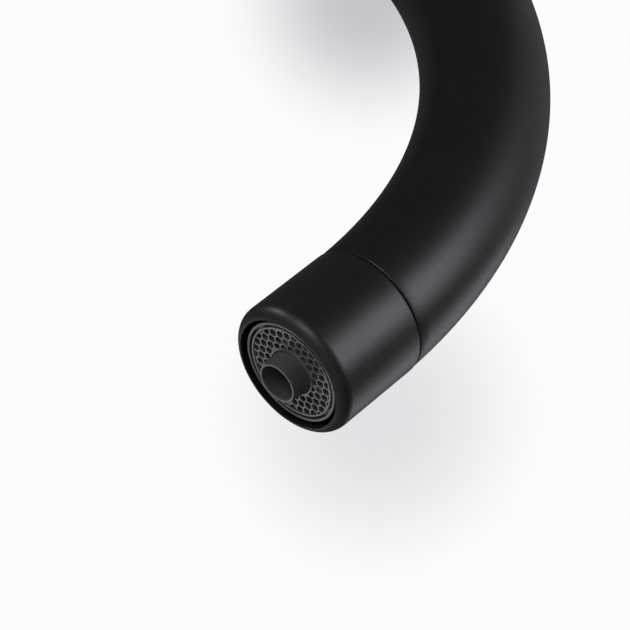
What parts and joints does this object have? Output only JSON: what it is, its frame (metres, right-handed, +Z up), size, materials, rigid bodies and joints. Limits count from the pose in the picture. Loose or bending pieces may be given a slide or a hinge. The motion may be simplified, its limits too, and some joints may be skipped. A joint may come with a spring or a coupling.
{
  "type": "pull down kitchen faucet",
  "caption": "Gooseneck kitchen faucet with a pull-out aerator head, a side mixer lever and a small filtered-water lever, clamped through one deck hole.",
  "frame": {"origin": "centre of the base in the deck plane", "axes": "+Z up, the spout reaches towards -Y, the mixer lever is on the +X side and the filtered-water lever on the -X side"},
  "size_m": [0.116, 0.2754, 0.483],
  "materials": {
    "black_coat": "matt black powder coat, fine even texture",
    "brass": "machined brass",
    "steel": "turned stainless steel",
    "magnet": "nickel-plated ring magnet",
    "zinc_nut": "zinc-plated nut",
    "rubber": "moulded rubber",
    "white_plastic": "moulded acetal",
    "ceramic": "polished alumina ceramic",
    "hose_braid": "black nylon braid",
    "blue_line": "blue polyethylene tube",
    "aerator_plastic": "dark grey moulded plastic",
    "screen": "etched stainless screen"
  },
  "bodies": {
    "root": {"base_flange": "black_coat", "base_gasket": "rubber", "valve_body": "black_coat", "threaded_shank": "brass", "swivel_stop_screw": "steel", "cartridge_gasket": "rubber", "cartridge_housing": "white_plastic", "fixed_ceramic_disc": "ceramic", "cartridge_nut": "brass", "dome_cover": "black_coat", "filter_valve_gasket": "rubber", "filter_valve_housing": "white_plastic", "filter_fixed_disc": "ceramic", "filter_valve_nut": "brass", "hose_lower": "hose_braid", "filter_line_lower": "blue_line", "hose_end_fitting": "brass"},
    "deck_clamp": {"deck_rubber_washer": "rubber", "deck_metal_washer": "steel", "mounting_nut": "zinc_nut"},
    "mixer_turn": {"stem_carrier": "white_plastic", "stem_pin": "steel"},
    "mixer_disc": {"moving_ceramic_disc": "ceramic", "disc_carrier": "white_plastic"},
    "mixer_lever": {"lever_stem": "steel", "lever_hub": "black_coat", "lever_rod": "black_coat", "lever_set_screw": "steel", "lever_plug": "black_coat"},
    "filter_lever": {"filter_moving_disc": "ceramic", "filter_spindle": "brass", "filter_lever_hub": "black_coat", "filter_lever_rod": "black_coat", "filter_set_screw": "steel"},
    "spout": {"spout_tube": "black_coat", "spout_foot": "brass", "lower_glide_ring": "white_plastic", "upper_glide_ring": "white_plastic", "friction_ring": "rubber", "thrust_washer": "white_plastic", "dock_bush": "white_plastic", "dock_magnet": "magnet"},
    "hose_end": {"hose_upper": "hose_braid", "filter_line_upper": "blue_line", "hose_nipple": "brass", "nipple_oring": "rubber", "hose_ferrule": "steel"},
    "spray_head": {"head_shell": "black_coat", "head_core": "white_plastic", "head_steel_ring": "steel", "hose_retaining_ring": "steel", "aerator_seal": "rubber", "aerator_housing": "aerator_plastic", "aerator_diffuser": "aerator_plastic", "aerator_mesh": "screen", "aerator_comb": "aerator_plastic", "centre_nozzle": "aerator_plastic", "nozzle_screen": "screen", "nozzle_oring": "rubber"}
  },
  "joints": [
    {"name": "clamp_travel", "type": "slide", "parent": "root", "child": "deck_clamp", "axis": [0, 0, -1], "range_m": [0, 0.034]},
    {"name": "mixer_temperature", "type": "hinge", "parent": "root", "child": "mixer_turn", "pos_m": [0.031, 0, 0.095], "axis": [1, 0, 0], "range_deg": [-45, 45]},
    {"name": "disc_shift", "type": "slide", "parent": "mixer_turn", "child": "mixer_disc", "axis": [0, 0, 1], "range_m": [0, 0.00154]},
    {"name": "mixer_flow", "type": "hinge", "parent": "mixer_turn", "child": "mixer_lever", "pos_m": [0.031, 0, 0.095], "axis": [0, 1, 0], "range_deg": [0, 20]},
    {"name": "filter_valve_turn", "type": "hinge", "parent": "root", "child": "filter_lever", "pos_m": [-0.031, 0, 0.095], "axis": [1, 0, 0], "range_deg": [0, 90]},
    {"name": "spout_swivel", "type": "hinge", "parent": "root", "child": "spout", "pos_m": [0, 0, 0.13], "axis": [0, 0, 1], "range_deg": [-70, 70]},
    {"name": "head_pull", "type": "slide", "parent": "spout", "child": "hose_end", "axis": [0, -0.23, -0.9732], "range_m": [0, 0.4], "deforming": ["hose_upper", "filter_line_upper"]},
    {"name": "head_swivel", "type": "hinge", "parent": "hose_end", "child": "spray_head", "pos_m": [0, -0.23001, 0.29228], "axis": [0, 0.23, 0.9732], "continuous": true}
  ],
  "couplings": [
    {"joint": "disc_shift", "follows": "mixer_flow", "m_per_rad": 0.004115}
  ]
}
